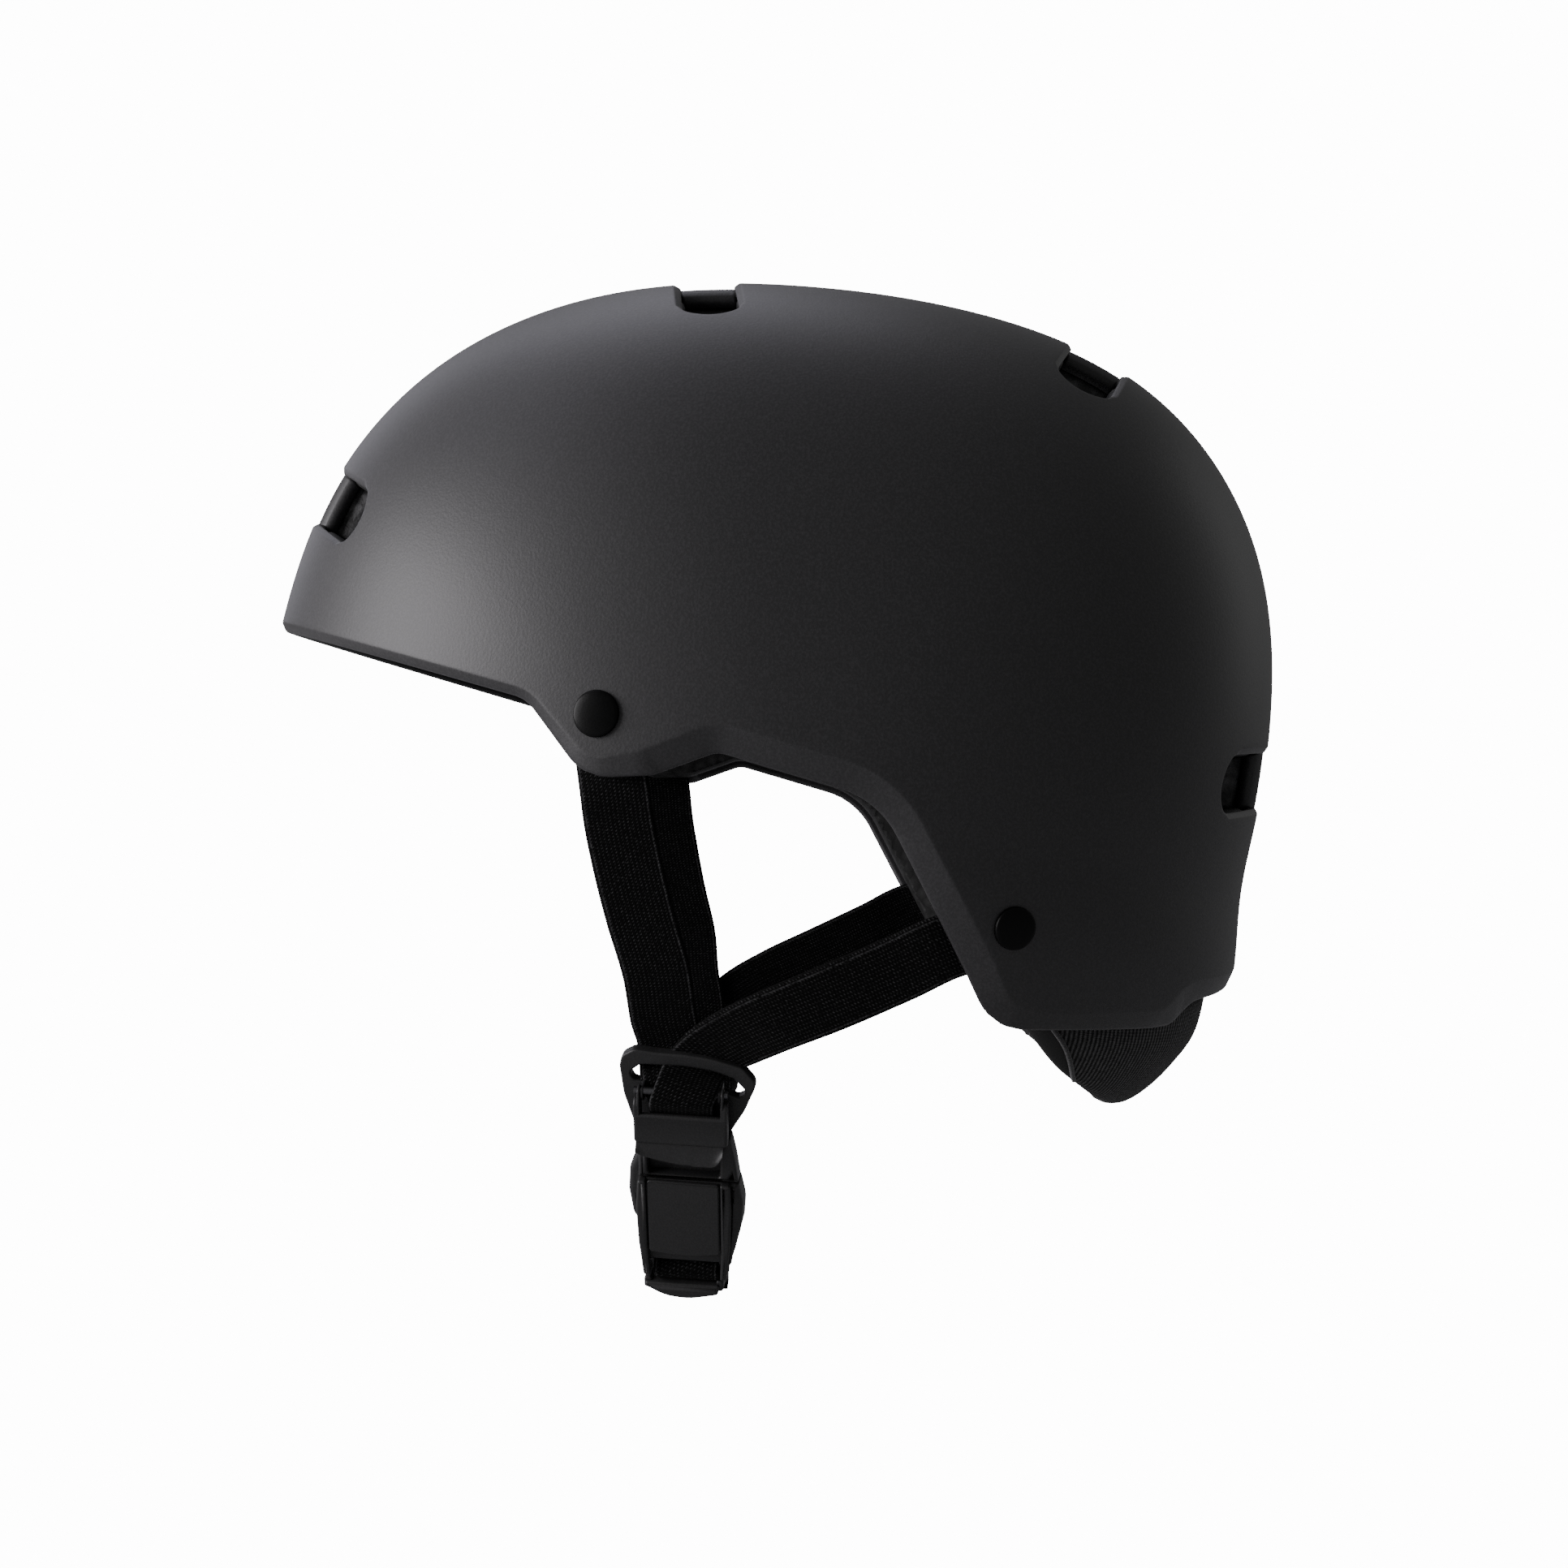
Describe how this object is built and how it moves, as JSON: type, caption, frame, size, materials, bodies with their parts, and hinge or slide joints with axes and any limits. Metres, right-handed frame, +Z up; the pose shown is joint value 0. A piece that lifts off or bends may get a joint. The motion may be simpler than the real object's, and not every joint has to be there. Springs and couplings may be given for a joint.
{
  "type": "water sports helmet",
  "caption": "Hard-shell water helmet with paired slot vents, foam liner, side harness straps with cam dividers and a magnetic chin buckle.",
  "frame": {"origin": "on the mid-plane, on the line that joins the two ear holes, where the helmet sits on a head", "axes": "+X is the wearer's left, -Y the brow, +Z up"},
  "size_m": [0.2236, 0.2913, 0.2959],
  "materials": {
    "shell": "matte with fine speckle",
    "foam": "beaded foam",
    "pad_fabric": "brushed knit",
    "neck_fabric": "ribbed knit",
    "hook_tape": "hook tape",
    "rivet_cap": "satin",
    "webbing": "twill webbing",
    "hardware": "fine texture",
    "magnet": "nickel plated",
    "steel": "brushed",
    "elastic": "elastic weave"
  },
  "bodies": {
    "helmet": {"outer_shell": "shell", "impact_liner": "foam", "brow_pad": "pad_fabric", "crown_pad": "pad_fabric", "rear_pad": "pad_fabric", "side_pad_left": "pad_fabric", "side_pad_right": "pad_fabric", "neck_pad": "neck_fabric", "hook_patches": "hook_tape", "neck_tape": "hook_tape", "rivet_front_left": "rivet_cap", "rivet_nut_front_left": "steel", "rivet_front_right": "rivet_cap", "rivet_nut_front_right": "steel", "rivet_rear_left": "rivet_cap", "rivet_nut_rear_left": "steel", "rivet_rear_right": "rivet_cap", "rivet_nut_rear_right": "steel", "strap_anchor_front_left": "webbing", "strap_anchor_front_right": "webbing", "strap_anchor_rear_left": "webbing", "strap_anchor_rear_right": "webbing"},
    "harness_left": {"front_strap_left": "webbing", "rear_strap_left": "webbing", "divider_left": "hardware", "cam_pin_left": "steel", "buckle_body": "hardware", "body_magnet": "magnet", "release_spring": "steel"},
    "cam_flap_left": {"cam_flap_left": "hardware"},
    "release_plate": {"buckle_release": "hardware"},
    "harness_right": {"front_strap_right": "webbing", "rear_strap_right": "webbing", "divider_right": "hardware", "cam_pin_right": "steel", "chin_strap": "webbing", "strap_keeper": "elastic", "buckle_tongue": "hardware", "tongue_magnet": "magnet"},
    "cam_flap_right": {"cam_flap_right": "hardware"}
  },
  "joints": [
    {"name": "harness_left_swing", "type": "hinge", "parent": "helmet", "child": "harness_left", "pos_m": [0.101, -0.05, 0.009], "axis": [0.0955, -0.8649, 0.4928], "range_deg": [0, 60]},
    {"name": "harness_right_swing", "type": "hinge", "parent": "helmet", "child": "harness_right", "pos_m": [-0.101, -0.05, 0.009], "axis": [0.0955, 0.8649, -0.4928], "range_deg": [0, 60]},
    {"name": "cam_flap_left_lift", "type": "hinge", "parent": "harness_left", "child": "cam_flap_left", "pos_m": [0.07295, -0.03141, -0.07169], "axis": [-0.1103, -0.9928, 0.0468], "range_deg": [0, 95]},
    {"name": "cam_flap_right_lift", "type": "hinge", "parent": "harness_right", "child": "cam_flap_right", "pos_m": [-0.07295, -0.03141, -0.07169], "axis": [-0.1103, 0.9928, -0.0468], "range_deg": [0, 95]},
    {"name": "buckle_release_slide", "type": "slide", "parent": "harness_left", "child": "release_plate", "axis": [-0.3903, 0, -0.9207], "range_m": [0, 0.003], "stiffness_N_per_m": 300, "springref_m": -0.001, "deforming": ["release_spring"]}
  ]
}
